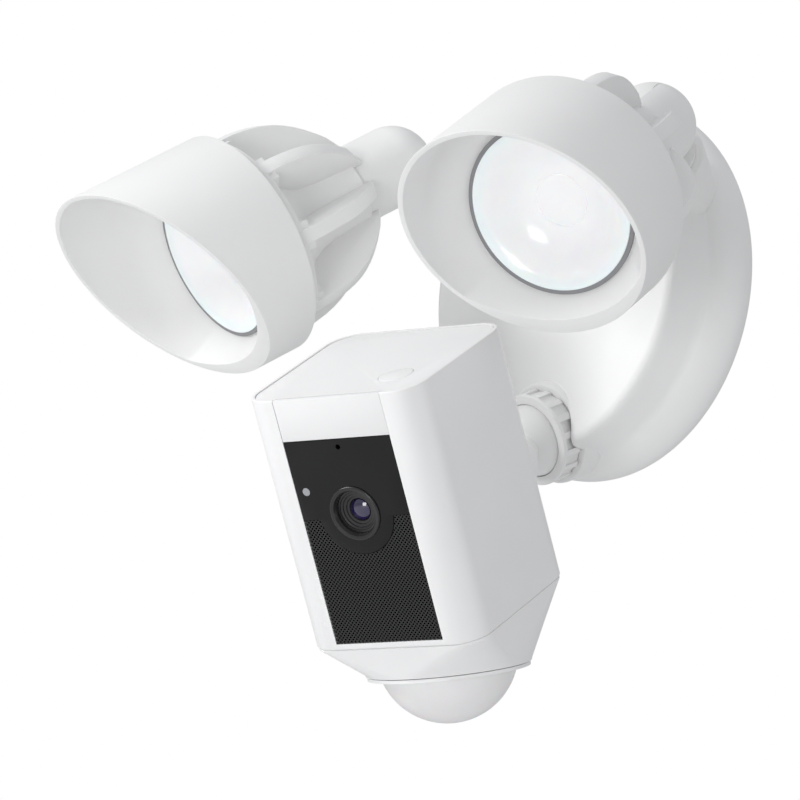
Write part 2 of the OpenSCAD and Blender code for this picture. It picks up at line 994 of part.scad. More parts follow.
wall_bracket();
bracket_studs();
wall_gasket();
base_shell();
back_plate();
back_plate_screws();
wire_grommet();
driver_board();
driver_parts();
terminal_block();
siren();
cap_nuts();
ball_socket();
locking_ring();
ball_liner();
mount_ball();
arm(-1);  // left_arm
arm(1);  // right_arm
arm_nut(-1);  // left_arm_nut
arm_nut(1);  // right_arm_nut
knuckle_screw(-1);  // left_knuckle_screw
knuckle_screw(1);  // right_knuckle_screw
neck(-1);  // left_neck
neck(1);  // right_neck
heatsink(-1);  // left_heatsink
heatsink(1);  // right_heatsink
hood(-1);  // left_hood
hood(1);  // right_hood
lens(-1);  // left_lens
lens(1);  // right_lens
lens_seal(-1);  // left_lens_seal
lens_seal(1);  // right_lens_seal
reflector(-1);  // left_reflector
reflector(1);  // right_reflector
led_board(-1);  // left_led_board
led_board(1);  // right_led_board
head_screws(-1);  // left_head_screws
head_screws(1);  // right_head_screws
camera_housing();
top_cover();
name_plate();
glass_panel();
speaker_grille();
lens_ring();
lens_barrel();
lens_glass();
sensor_board();
light_sensor();
speaker();
main_board();
board_parts();
camera_frame();
camera_seal();
motion_collar();
motion_dome();
motion_sensors();
housing_screws();
button_switch();
setup_button();
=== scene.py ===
"""Floodlight security camera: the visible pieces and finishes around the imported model."""

import json
import math

import bpy
from bpy.props import FloatProperty, FloatVectorProperty, IntProperty, PointerProperty
from mathutils import Matrix, Vector


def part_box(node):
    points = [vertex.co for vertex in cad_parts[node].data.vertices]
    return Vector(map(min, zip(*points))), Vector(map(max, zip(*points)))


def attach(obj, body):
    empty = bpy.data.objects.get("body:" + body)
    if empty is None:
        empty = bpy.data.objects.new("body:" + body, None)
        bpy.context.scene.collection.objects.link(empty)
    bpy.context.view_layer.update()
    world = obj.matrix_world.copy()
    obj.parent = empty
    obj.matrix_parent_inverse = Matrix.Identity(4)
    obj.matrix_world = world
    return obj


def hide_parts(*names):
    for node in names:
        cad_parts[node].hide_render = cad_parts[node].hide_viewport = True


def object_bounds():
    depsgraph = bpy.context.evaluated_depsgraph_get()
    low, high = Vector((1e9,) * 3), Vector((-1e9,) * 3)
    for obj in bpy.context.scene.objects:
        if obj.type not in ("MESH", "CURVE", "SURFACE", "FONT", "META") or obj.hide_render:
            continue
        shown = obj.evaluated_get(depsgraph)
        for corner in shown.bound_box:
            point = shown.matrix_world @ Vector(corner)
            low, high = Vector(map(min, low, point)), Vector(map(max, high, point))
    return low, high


bl_info = {
    "name": "Floodlight camera",
    "version": (1, 0, 0),
    "blender": (4, 5, 0),
    "location": "View3D > Sidebar > Floodlight",
    "description": "Models the visible pieces of a floodlight camera around its packed model",
    "category": "Add Mesh",
}

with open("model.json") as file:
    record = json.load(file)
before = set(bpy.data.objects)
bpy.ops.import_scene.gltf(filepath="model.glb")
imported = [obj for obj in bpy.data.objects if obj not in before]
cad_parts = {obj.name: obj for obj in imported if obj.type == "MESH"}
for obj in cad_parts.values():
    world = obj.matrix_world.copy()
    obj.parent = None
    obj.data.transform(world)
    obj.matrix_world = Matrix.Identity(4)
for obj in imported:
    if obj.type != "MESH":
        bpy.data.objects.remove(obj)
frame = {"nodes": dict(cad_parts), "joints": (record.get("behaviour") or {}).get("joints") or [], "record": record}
CAD_LOW, CAD_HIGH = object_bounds()
JOINTS = {joint["name"]: joint for joint in frame["joints"]}
SIDES = ("left", "right")
MM = 0.001
HEAD_OVERLAP = 2 * MM  # how far the heatsink reaches into its hood
LENS_SEAT = 13 * MM  # from the hood's rear edge to the lens's rear face
SOCKET_RADIUS = 14.95 * MM  # the camera mount's socket, inside the clamp ring
FIT_GAP = 0.15 * MM  # between the camera's front pieces and their openings


# ---- Places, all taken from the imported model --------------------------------


def joint_axis(name):
    return Vector(JOINTS[name]["axis"]).normalized()


def joint_place(name):
    return Vector(JOINTS[name]["pos_m"])


def place(origin, front, right):
    """The matrix of a piece drawn at the origin with its front at -Y and its right at +X."""
    back = -front.normalized()
    right = (right - back * right.dot(back)).normalized()
    up = right.cross(back)
    return Matrix.Translation(origin) @ Matrix((right, back, up)).transposed().to_4x4()


def lamp_place(side):
    """A lamp head's own axes: its front is where the lens looks, its top is the long side of the visor."""
    knuckle = joint_place(side + "_lamp_tilt")
    low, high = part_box(side + "_lens_seal")
    front = ((low + high) / 2 - knuckle).normalized()
    hood = [v.co - knuckle for v in frame["nodes"][side + "_hood"].data.vertices]
    reach = max(p.dot(front) for p in hood)
    tips = [p - front * p.dot(front) for p in hood if p.dot(front) > reach - 0.05 * MM]
    top = sum(tips, Vector()) / len(tips)
    return place(knuckle, front, top.cross(front))


def arm_place(side):
    tilt = side + "_lamp_tilt"
    return place(joint_place(tilt), joint_axis(side + "_arm_swivel"), joint_axis(tilt))


MOUNT_PLACE = place(joint_place("ring_turn"), joint_axis("ring_turn"), Vector((1, 0, 0)))
CAMERA_PLACE = place(joint_place("camera_roll"), joint_axis("camera_roll"), joint_axis("camera_tilt"))


# ---- Sizes and colours that a user would change -----------------------------


def length(name, what, default):
    return FloatProperty(name=name, description=what, default=default, unit="LENGTH")


def angle(name, what, degrees):
    return FloatProperty(name=name, description=what, default=math.radians(degrees), subtype="ANGLE")


def colour(name, what, default):
    return FloatVectorProperty(name=name, description=what, default=default, subtype="COLOR")


class BaseSizes(bpy.types.PropertyGroup):
    rim_radius: length("Rim radius", "Radius of the base's fat rim", 0.068)
    rim_round: length("Rim round", "Radius of the rim's round section", 0.013)
    plateau_radius: length("Plateau radius", "Radius of the raised front", 0.0625)
    plateau_out: length("Plateau height", "How far the raised front stands off the wall", 0.040)
    wall: length("Wall", "Thickness of the casting", 0.003)
    boss_radius: length("Boss radius", "Radius of an arm's boss", 0.015)
    stub_radius: length("Stub radius", "Radius of an arm's stub", 0.012)


class LampSizes(bpy.types.PropertyGroup):
    hood_radius: length("Hood radius", "Outside radius of the hood", 0.0415)
    reach: length("Reach", "From the knuckle's centre to the hood's rear edge", 0.067)
    visor_long: length("Visor top", "Length of the hood on its upper side", 0.054)
    visor_short: length("Visor bottom", "Length of the hood on its lower side", 0.019)
    lip: length("Lip", "Thickness of the hood's lip", 0.0018)
    lens_radius: length("Lens radius", "Radius of the lamp's lens", 0.0285)
    lens_depth: length("Lens depth", "Depth of the lens's bowl", 0.0086)
    neck_radius: length("Neck radius", "Radius of the neck and knuckle", 0.015)
    fins: IntProperty(name="Fins", description="Number of cooling fins", default=8, min=4, max=12)
    fin_thick: length("Fin thickness", "Thickness of a cooling fin", 0.0054)


class CameraSizes(bpy.types.PropertyGroup):
    width: length("Width", "Width of the housing", 0.068)
    depth: length("Depth", "Depth of the housing", 0.0665)
    height: length("Height", "Height of the housing", 0.0895)
    corner: length("Corner", "Radius of the upright corners", 0.0105)
    back: length("Back", "From the ball's centre to the housing's back", 0.0535)
    bottom: length("Bottom", "Height of the housing's lower edge over the ball", -0.029)
    panel_width: length("Panel width", "Width of the black front", 0.042)
    panel_height: length("Panel height", "Height of the black front", 0.0725)
    hole_pitch: length("Hole pitch", "Distance between the grille's holes", 0.00105)
    dome_radius: length("Dome radius", "Radius of the motion dome", 0.0235)
    dome_height: length("Dome height", "Height of the motion dome", 0.0185)
    sensor_lean: angle("Sensor lean", "Forward lean of the motion sensor", 15)


class Colours(bpy.types.PropertyGroup):
    coat: colour("Coat", "White of the textured castings", (0.87, 0.87, 0.865))
    shell: colour("Shell", "White of the camera's housing", (0.87, 0.87, 0.87))
    black: colour("Black", "Black of the front panel", (0.004, 0.004, 0.0045))
    frost: colour("Frost", "White of the frosted lenses", (0.93, 0.93, 0.94))


class StageSizes(bpy.types.PropertyGroup):
    aim: FloatVectorProperty(
        name="Aim", description="Point that the camera looks at",
        default=(-0.0560, -0.0580, -0.0422), subtype="TRANSLATION",
    )
    azimuth: angle("Azimuth", "Camera's place round the object", 50.55)
    elevation: angle("Elevation", "Camera's place over the horizon", -8.71)
    roll: angle("Roll", "Camera's roll", 4.43)
    distance: length("Distance", "From the camera to its aim", 1.847)
    lens: FloatProperty(name="Lens", description="Focal length in millimetres", default=233.4)


# ---- Modelling helpers -------------------------------------------------------


def deselect():
    bpy.ops.object.select_all(action="DESELECT")


def pick(piece):
    deselect()
    piece.select_set(True)
    bpy.context.view_layer.objects.active = piece


def edit(piece, select="DESELECT"):
    pick(piece)
    bpy.ops.object.mode_set(mode="EDIT")
    bpy.ops.mesh.select_all(action=select)


def leave():
    bpy.ops.object.mode_set(mode="OBJECT")


def select_where(piece, kind, test):
    """Selects the vertices, edges or faces that pass a test, in edit mode."""
    bpy.ops.mesh.select_mode(type=kind)
    bpy.ops.mesh.select_all(action="DESELECT")
    leave()
    mesh = piece.data
    parts = {"VERT": mesh.vertices, "EDGE": mesh.edges, "FACE": mesh.polygons}[kind]
    for part in parts:
        part.select = bool(test(part))
    bpy.ops.object.mode_set(mode="EDIT")


def started(name):
    """The new primitive, named."""
    piece = bpy.context.object
    piece.name = name
    piece.data.name = name
    return piece


def step_to(offset):
    bpy.ops.mesh.extrude_region_move(TRANSFORM_OT_translate={"value": offset})


def walked(name, points):
    """One vertex, extruded from point to point. It stays in edit mode."""
    deselect()
    bpy.ops.mesh.primitive_plane_add(size=MM)
    piece = started(name)
    bpy.ops.object.mode_set(mode="EDIT")
    bpy.ops.mesh.select_mode(type="VERT")
    bpy.ops.mesh.select_all(action="SELECT")
    bpy.ops.mesh.merge(type="CENTER")
    bpy.ops.transform.translate(value=points[0])
    for near, far in zip(points, points[1:]):
        step_to(far - near)
    return piece


def tidy_surface():
    bpy.ops.mesh.select_all(action="SELECT")
    bpy.ops.mesh.remove_doubles(threshold=0.002 * MM)
    bpy.ops.mesh.normals_make_consistent(inside=False)


def turned(name, profile, steps=96):
    """Spins a profile of (radius, distance forward) round the Y axis."""
    piece = walked(name, [Vector((radius, -forward, 0)) for radius, forward in profile])
    bpy.ops.mesh.select_all(action="SELECT")
    bpy.ops.mesh.spin(steps=steps, angle=math.tau, center=(0, 0, 0), axis=(0, 1, 0))
    tidy_surface()
    leave()
    return piece


def plate(name, outline, thick):
    """Extrudes an outline in the Y-Z plane sideways, centred on X = 0."""
    piece = walked(name, [Vector((-thick / 2, y, z)) for y, z in outline])
    bpy.ops.mesh.select_all(action="SELECT")
    bpy.ops.mesh.edge_face_add()
    step_to((thick, 0, 0))
    tidy_surface()
    leave()
    return piece


def arc(centre, radius, start, end, count):
    """Points of an arc from one angle to another, in degrees."""
    angles = [math.radians(start + (end - start) * i / count) for i in range(count + 1)]
    return [(centre[0] + radius * math.cos(a), centre[1] + radius * math.sin(a)) for a in angles]


def rod(name, radius, start, end, ease=0.0, steps=64):
    """A closed rod along Y between two distances forward, with its front edge eased."""
    front = [(radius, end)] if ease == 0 else arc((radius - ease, end - ease), ease, 0, 90, 4)
    return turned(name, [(0, start), (radius, start), *front, (0, end)], steps)


def block(name, low, high):
    """A box between two corners, as a start for shaping."""
    low, high = Vector(low), Vector(high)
    deselect()
    bpy.ops.mesh.primitive_cube_add(size=1, location=(low + high) / 2, scale=high - low)
    piece = started(name)
    bpy.ops.object.transform_apply()
    return piece


def upright_round(piece, radius, segments=12):
    """Rounds the edges that run along Z."""
    edit(piece)
    points = piece.data.vertices

    def upright(edge):
        first, second = (points[i].co.xy for i in edge.vertices)
        return (first - second).length < 0.01 * MM

    select_where(piece, "EDGE", upright)
    bpy.ops.mesh.bevel(offset=radius, segments=segments, affect="EDGES")
    leave()


def modified(piece, kind, **settings):
    """Adds a modifier and applies it."""
    pick(piece)
    modifier = piece.modifiers.new(kind.title(), kind)
    for key, value in settings.items():
        setattr(modifier, key, value)
    bpy.ops.object.modifier_apply(modifier=modifier.name)


def eased(piece, width, segments=2, angle=35):
    """Breaks the sharp edges."""
    modified(
        piece, "BEVEL", width=width, segments=segments, limit_method="ANGLE", angle_limit=math.radians(angle),
        harden_normals=False, miter_outer="MITER_ARC",
    )


def joined_solid(piece, tool, operation="UNION"):
    modified(piece, "BOOLEAN", object=tool, operation=operation, solver="EXACT")
    bpy.data.objects.remove(tool)


def merged(pieces, name):
    """Joins the pieces into one object of separate shells."""
    pick(pieces[0])
    for piece in pieces:
        piece.select_set(True)
    bpy.ops.object.join()
    return started(name)


def copy_of(piece, name):
    double = piece.copy()
    double.data = piece.data.copy()
    double.name = name
    double.data.name = name
    bpy.context.scene.collection.objects.link(double)
    return double


def moved(matrix, piece):
    """Moves a piece from its own axes to those that a matrix stands for."""
    pick(piece)
    piece.matrix_world = matrix
    bpy.ops.object.transform_apply()
    return piece


def settled(piece, matrix, body, nodes, slot, smooth=35):
    """Puts a finished piece in its place, gives it the material of its slot, hangs it on its body and hides the
    nodes that it stands for.
    """
    moved(matrix, piece)
    bpy.ops.object.shade_smooth_by_angle(angle=math.radians(smooth))
    piece.data.materials.clear()
    piece.data.materials.append(finishes()[slot])
    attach(piece, body)
    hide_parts(*nodes)


# ---- Finishes ----------------------------------------------------------------


class Wire:
    """A socket that can be used in sums. Each operator adds a Math node."""

    def __init__(self, recipe, socket):
        self.recipe = recipe
        self.socket = socket

    def sum(self, operation, *values):
        return self.recipe.add("ShaderNodeMath", {"operation": operation}, dict(enumerate(values)))

    def __add__(self, other):
        return self.sum("ADD", self, other)

    def __sub__(self, other):
        return self.sum("SUBTRACT", self, other)

    def __rsub__(self, other):
        return self.sum("SUBTRACT", other, self)

    def __mul__(self, other):
        return self.sum("MULTIPLY", self, other)

    __radd__ = __add__
    __rmul__ = __mul__

    def ramp(self, low, high):
        """0 below one value and 1 above the other."""
        inputs = {"Value": self, "From Min": low, "From Max": high}
        return self.recipe.add("ShaderNodeMapRange", {}, inputs, "Result")


class Recipe:
    """Builds one procedural material from Object coordinates."""

    def __init__(self, name, **constants):
        self.material = bpy.data.materials.new(name)
        self.material.use_nodes = True
        self.tree = self.material.node_tree
        self.tree.nodes.clear()
        self.shader = self.tree.nodes.new("ShaderNodeBsdfPrincipled")
        out = self.tree.nodes.new("ShaderNodeOutputMaterial")
        self.tree.links.new(self.shader.outputs[0], out.inputs[0])
        self.give(**constants)
        self.place = self.add("ShaderNodeTexCoord", output="Object")

    def set(self, socket, value):
        if isinstance(value, Wire):
            self.tree.links.new(value.socket, socket)
        elif hasattr(value, "__len__") and len(value) == 3 and socket.type == "RGBA":
            socket.default_value = (*value, 1)
        else:
            socket.default_value = value

    def add(self, kind, settings=None, inputs=None, output=0):
        node = self.tree.nodes.new(kind)
        for key, value in (settings or {}).items():
            if key == "stops":
                for i, (at, shade) in enumerate(value):
                    stop = node.color_ramp.elements[i] if i < 2 else node.color_ramp.elements.new(at)
                    stop.position = at
                    stop.color = (*shade, 1)
            else:
                setattr(node, key, value)
        for key, value in (inputs or {}).items():
            self.set(node.inputs[key], value)
        return Wire(self, node.outputs[output])

    def noise(self, per_mm, detail=3, roughness=0.5):
        inputs = {"Vector": self.place, "Scale": per_mm / MM, "Detail": detail, "Roughness": roughness}
        return self.add("ShaderNodeTexNoise", {}, inputs)

    def blend(self, factor, first, second):
        """A mix of two colours."""
        return self.add("ShaderNodeMix", {"data_type": "RGBA"}, {0: factor, 6: first, 7: second}, 2)

    def give(self, **sockets):
        for key, value in sockets.items():
            self.set(self.shader.inputs[key.replace("_", " ")], value)

    def bump(self, height, depth_mm, strength=1.0):
        inputs = {"Height": height, "Distance": depth_mm * MM, "Strength": strength}
        self.give(Normal=self.add("ShaderNodeBump", {}, inputs))
        return self


def dimmed(colour, by):
    return tuple(c * by for c in colour)


def textured_white(name, colour, grain=1.6, depth=0.05, rough=0.48):
    """Powder coat: a fine orange-peel grain with faint clouds of dust."""
    recipe = Recipe(name, IOR=1.46)
    cloud = recipe.noise(0.02, 2).ramp(0.35, 0.7)
    speck = recipe.noise(grain, 2, 0.6)
    recipe.give(
        Base_Color=recipe.blend(cloud, colour, dimmed(colour, 0.965)),
        Roughness=rough + (speck - 0.5) * 0.16 + cloud * 0.05,
    )
    return recipe.bump(speck, depth, 0.7).material


def moulded(name, colour, rough, grain=2.5, depth=0.012):
    """Moulded plastic: nearly smooth, with a very fine grain and a faint wave in its gloss."""
    recipe = Recipe(name, IOR=1.47)
    speck = recipe.noise(grain, 1)
    wave = recipe.noise(0.03, 2)
    recipe.give(
        Base_Color=recipe.blend(wave.ramp(0.3, 0.75), colour, dimmed(colour, 0.97)),
        Roughness=rough + (wave - 0.5) * 0.08 + (speck - 0.5) * 0.05,
    )
    return recipe.bump(speck, depth, 0.6).material


def gloss_black(name, colour):
    """Polished black panel with faint wipe marks."""
    recipe = Recipe(name, IOR=1.5, Specular_IOR_Level=0.3)
    wipe = recipe.noise(0.05, 4, 0.6)
    recipe.give(
        Base_Color=recipe.blend(wipe, colour, dimmed(colour, 1.4)),
        Roughness=0.02 + wipe.ramp(0.5, 0.8) * 0.03,
    )
    return recipe.material


def metal(name, colour, rough):
    """Brushed or plated metal."""
    recipe = Recipe(name, Metallic=1.0)
    scratch = recipe.noise(3.0, 4, 0.7)
    recipe.give(
        Base_Color=recipe.blend(scratch, dimmed(colour, 0.85), colour),
        Roughness=rough + (scratch - 0.5) * 0.2,
    )
    return recipe.bump(scratch, 0.01, 0.4).material


def frosted(name, colour, rough, painted_glow=0.0):
    """Frosted cover: milky, with light that spreads inside it and a soft gloss; its emission is a painted glow
    that lifts a lens out of the shade of its hood.
    """
    recipe = Recipe(
        name, IOR=1.49, Subsurface_Weight=0.35, Subsurface_Scale=4 * MM, Coat_Roughness=0.12,
        # painted glow: emission that brightens the lens in place of light falling on it
        Emission_Strength=painted_glow,
    )
    haze = recipe.noise(0.06, 2)
    recipe.give(
        Base_Color=recipe.blend(haze.ramp(0.35, 0.7), colour, dimmed(colour, 0.96)),
        Roughness=rough + (haze - 0.5) * 0.06,
        Coat_Weight=0.25 + haze * 0.1,
        # colour of the painted glow
        Emission_Color=recipe.blend(haze, colour, dimmed(colour, 0.95)),
    )
    return recipe.bump(recipe.noise(2.0, 1), 0.008, 0.5).material


def circuit(name, colour):
    """Circuit board: solder mask over a grid of tracks."""
    recipe = Recipe(name, Roughness=0.35)
    track = recipe.add(
        "ShaderNodeTexVoronoi", {"feature": "DISTANCE_TO_EDGE", "distance": "EUCLIDEAN"},
        {"Vector": recipe.place, "Scale": 0.35 / MM},
    )
    recipe.give(Base_Color=recipe.blend(track.ramp(0.03, 0.08), dimmed(colour, 1.9), colour))
    return recipe.bump(track.ramp(0.03, 0.08), 0.03, 0.5).material


def coated_glass(name):
    """Coated camera glass: near black, with cloudy violet and blue painted in as the coating's glint."""
    recipe = Recipe(name, IOR=1.6, Roughness=0.02, Coat_Roughness=0.01)
    # the violet and blue stops are a painted glint of the lens coating
    stops = [
        (0.3, (0.002, 0.002, 0.006)),
        (0.5, (0.015, 0.008, 0.07)),
        (0.62, (0.03, 0.005, 0.04)),
        (0.7, (0.002, 0.002, 0.004)),
    ]
    painted_glint_tint = recipe.add("ShaderNodeValToRGB", {"stops": stops}, {"Fac": recipe.noise(0.09, 1)})
    recipe.give(Base_Color=painted_glint_tint, Coat_Weight=recipe.noise(0.1, 1).ramp(0.0, 0.3))
    return recipe.material


FINISHES = {}


def finishes():
    """One material for each slot of the record, made once."""
    if FINISHES:
        return FINISHES
    chosen = bpy.context.scene.floodlight_colours
    coat, shell, black, frost = (tuple(c) for c in (chosen.coat, chosen.shell, chosen.black, chosen.frost))
    FINISHES.update(
        white_body=textured_white("textured_white", coat),
        white_cast=moulded("mount_white", coat, 0.4),
        satin_white=moulded("satin_white", shell, 0.34),
        gloss_white=moulded("gloss_white", (0.86, 0.86, 0.86), 0.12, depth=0.004),
        black_gloss=gloss_black("panel_black", black),
        black_mesh=moulded("grille_black", (0.016, 0.016, 0.017), 0.32, depth=0.006),
        black_trim=moulded("trim_black", (0.02, 0.02, 0.021), 0.22, depth=0.006),
        lens_coated=coated_glass("coated_glass"),
        # the 0.1 is a painted glow for the lamp lenses, which sit in the shade of the hoods
        frosted_lens=frosted("lamp_frost", frost, 0.16, 0.1),
        frosted_dome=frosted("dome_frost", shell, 0.36),
        sensor=moulded("sensor_glass", (0.35, 0.36, 0.38), 0.08),
        steel=metal("plated_steel", (0.62, 0.62, 0.62), 0.3),
        reflector_metal=metal("bright_reflector", (0.85, 0.85, 0.86), 0.14),
        led_board=moulded("led_board", (0.85, 0.82, 0.68), 0.35),
        circuit_board=circuit("circuit_board", (0.02, 0.09, 0.04)),
        socket_plastic=moulded("socket_plastic", (0.62, 0.62, 0.61), 0.45),
        seal_rubber=moulded("seal_rubber", (0.26, 0.26, 0.27), 0.65, 1.2, 0.03),
    )
    return FINISHES


# ---- Stage -------------------------------------------------------------------


class FLOODLIGHT_OT_stage(bpy.types.Operator):
    """Pale floor, soft lights and the camera"""

    bl_idname = "floodlight.stage"
    bl_label = "Stage"

    floor_size, floor_drop = 12, 0.55
    fill_colour, fill_strength = (0.97, 0.98, 1.0, 1), 0.55

    def light(self, name, place, size, power):
        """A soft panel that points at the object's middle."""
        bpy.ops.object.light_add(type="AREA", location=place)
        lamp = bpy.context.object
        lamp.name = name
        lamp.data.shape = "RECTANGLE"
        lamp.data.size, lamp.data.size_y = size
        lamp.data.energy = power
        middle = (CAD_LOW + CAD_HIGH) / 2
        lamp.rotation_mode = "QUATERNION"
        lamp.rotation_quaternion = (middle - Vector(place)).to_track_quat("-Z", "Y")

    def execute(self, context):
        sizes = context.scene.floodlight_stage
        deselect()
        bpy.ops.object.camera_add()
        camera = context.object
        camera.name = "camera"
        look = Vector(
            (
                -math.sin(sizes.azimuth) * math.cos(sizes.elevation),
                math.cos(sizes.azimuth) * math.cos(sizes.elevation),
                -math.sin(sizes.elevation),
            )
        )
        camera.rotation_mode = "QUATERNION"
        level = look.to_track_quat("-Z", "Y")
        camera.rotation_quaternion = level @ Matrix.Rotation(sizes.roll, 3, "Z").to_quaternion()
        camera.location = Vector(sizes.aim) - look * sizes.distance
        camera.data.lens = sizes.lens
        camera.data.clip_start = 0.01
        context.scene.camera = camera

        deselect()
        bpy.ops.mesh.primitive_plane_add(size=self.floor_size, location=(0, 0, CAD_LOW.z - self.floor_drop))
        floor = started("floor")
        ground = Recipe("floor_pale", Roughness=0.8)
        ground.give(Base_Color=ground.blend(ground.noise(0.0005, 1), (0.8, 0.8, 0.8), (0.84, 0.84, 0.84)))
        floor.data.materials.append(ground.material)

        world = bpy.data.worlds.new("studio")
        context.scene.world = world
        world.use_nodes = True
        nodes, links = world.node_tree.nodes, world.node_tree.links
        nodes.clear()
        rays = nodes.new("ShaderNodeLightPath")
        shown = nodes.new("ShaderNodeBackground")
        shown.inputs["Color"].default_value = (1, 1, 1, 1)
        shown.inputs["Strength"].default_value = 1.0
        around = nodes.new("ShaderNodeBackground")
        around.inputs["Color"].default_value = self.fill_colour
        around.inputs["Strength"].default_value = self.fill_strength
        mix = nodes.new("ShaderNodeMixShader")
        out = nodes.new("ShaderNodeOutputWorld")
        links.new(rays.outputs["Is Camera Ray"], mix.inputs[0])
        links.new(around.outputs[0], mix.inputs[1])
        links.new(shown.outputs[0], mix.inputs[2])
        links.new(mix.outputs[0], out.inputs[0])
        context.scene.view_settings.view_transform = "Standard"

        self.light("key", (-0.7, -1.5, 0.7), (0.8, 0.8), 16)
        self.light("top", (0.1, -0.2, 1.5), (1.0, 1.0), 2)
        self.light("side", (1.6, 0.5, -0.1), (0.4, 1.0), 1.5)
        self.light("front", (0.8, -1.6, -0.5), (0.6, 0.6), 8)
        return {"FINISHED"}


# ---- Base --------------------------------------------------------------------


class FLOODLIGHT_OT_base(bpy.types.Operator):
    """Base casting with its rim, raised front and bosses"""

    bl_idname = "floodlight.base"
    bl_label = "Base"

    boss_near, boss_far = 18.5 * MM, 48 * MM
    mount_boss_radius, mount_boss_far = 18.2 * MM, 20 * MM
    ring_rear = 4.6 * MM
    socket_depth = 17 * MM
    bore_gap = 0.05 * MM
    pocket_radius = 16.8 * MM
    corner_ease = 0.8 * MM

    def profile(self, sizes):
        """The casting's section, from the middle of its inside round the rim to the middle of its front."""
        fillet, crease, foam = 3.4 * MM, 1.2 * MM, 1.5 * MM
        r, s, w = sizes.rim_radius, sizes.rim_round, sizes.wall
        side, out = sizes.plateau_radius, sizes.plateau_out
        rim = (r - s, s)
        back = r - 8 * MM
        low = -math.degrees(math.asin((s - foam) / s))
        inner_low = -math.degrees(math.acos((back - w - rim[0]) / (s - w)))
        high = math.degrees(math.acos((side - rim[0]) / s))
        inner_high = math.degrees(math.acos((side - w - rim[0]) / (s - w)))
        root = rim[1] + s * math.sin(math.radians(high))
        return [
            (0, out - w),
            *arc((side - fillet, out - fillet), fillet - w, 90, 0, 3),
            *arc(rim, s - w, inner_high, inner_low, 10),
            (back - w, foam),
            *arc(rim, s, low, high - 4, 26),
            (side, root + crease),
            *arc((side - fillet, out - fillet), fillet, 0, 90, 8),
            (0, out),
        ]

    def execute(self, context):
        sizes = context.scene.floodlight_base
        casting = turned("base_casting", self.profile(sizes), 160)
        for side in SIDES:
            boss = rod("boss", sizes.boss_radius, -self.boss_far, -self.boss_near, self.corner_ease)
            joined_solid(casting, moved(arm_place(side), boss))
        boss = rod("boss", self.mount_boss_radius, -self.mount_boss_far, -self.ring_rear, self.corner_ease)
        joined_solid(casting, moved(MOUNT_PLACE, boss))
        for side in SIDES:
            bore = rod("bore", sizes.stub_radius + self.bore_gap, -self.boss_far * 2, -self.boss_near + MM)
            joined_solid(casting, moved(arm_place(side), bore), "DIFFERENCE")
        pocket = rod("pocket", self.pocket_radius, -self.ring_rear, 20 * MM)
        joined_solid(casting, moved(MOUNT_PLACE, pocket), "DIFFERENCE")
        bore = rod("bore", SOCKET_RADIUS, -self.socket_depth, 0)
        joined_solid(casting, moved(MOUNT_PLACE, bore), "DIFFERENCE")
        settled(casting, Matrix.Identity(4), "base", ["base_shell"], "white_body")
        return {"FINISHED"}


# ---- Lamp heads --------------------------------------------------------------


class FLOODLIGHT_OT_hoods(bpy.types.Operator):
    """Hood of each lamp, with its slanted mouth and thin lip"""

    bl_idname = "floodlight.hoods"
    bl_label = "Hoods"

    rear_bore = 37.6 * MM
    rear_ease = 0.6 * MM
    lip_ease = 0.55 * MM

    def profile(self, sizes):
        """The hood's section before its mouth is cut, from the mouth in to the lens's seat and back out."""
        seat = sizes.reach + HEAD_OVERLAP
        lens_seat = sizes.reach + LENS_SEAT
        straight = sizes.reach + sizes.visor_short + 8 * MM
        end = sizes.reach + sizes.visor_long + 4 * MM
        outer, lens, ease = sizes.hood_radius, sizes.lens_radius, self.rear_ease
        return [
            (outer - sizes.lip, end),
            (outer - sizes.lip, straight),
            (lens + 2.6 * MM, lens_seat + 0.8 * MM),
            (lens + 1.9 * MM, lens_seat + 0.1 * MM),
            (lens + 1.6 * MM, lens_seat),
            (lens - 1.5 * MM, lens_seat),
            (lens - 1.5 * MM, lens_seat - 2 * MM),
            (lens + 2.5 * MM, lens_seat - 5 * MM),
            (lens + 2.5 * MM, seat),
            (self.rear_bore, seat),
            (self.rear_bore, sizes.reach),
            *arc((outer - ease, sizes.reach + ease), ease, -90, 0, 4),
            (outer, end),
        ]

    def execute(self, context):
        sizes = context.scene.floodlight_lamp
        hood = turned("hood", self.profile(sizes), 160)
        slant = math.atan2(sizes.visor_long - sizes.visor_short, 2 * sizes.hood_radius)
        normal = Vector((0, -math.cos(slant), -math.sin(slant)))
        middle = Vector((0, -sizes.reach - (sizes.visor_long + sizes.visor_short) / 2, 0))
        edit(hood, "SELECT")
        bpy.ops.mesh.bisect(plane_co=middle, plane_no=normal, clear_outer=True)
        points = hood.data.vertices

        def in_mouth(edge):
            return all(abs((points[i].co - middle).dot(normal)) < 0.01 * MM for i in edge.vertices)

        def on_lip(edge):
            """An edge of the mouth that runs round it, and not across the lip."""
            first, second = (points[i].co.xz.length for i in edge.vertices)
            return in_mouth(edge) and abs(first - second) < 0.3 * MM

        select_where(hood, "EDGE", in_mouth)
        bpy.ops.mesh.bridge_edge_loops()
        leave()
        edit(hood)
        points = hood.data.vertices
        select_where(hood, "EDGE", on_lip)
        bpy.ops.mesh.bevel(offset=self.lip_ease, segments=4, affect="EDGES", clamp_overlap=True)
        tidy_surface()
        leave()
        for side in SIDES:
            piece = copy_of(hood, side + "_visor")
            settled(piece, lamp_place(side), side + "_lamp", [side + "_hood"], "white_body")
        bpy.data.objects.remove(hood)
        return {"FINISHED"}


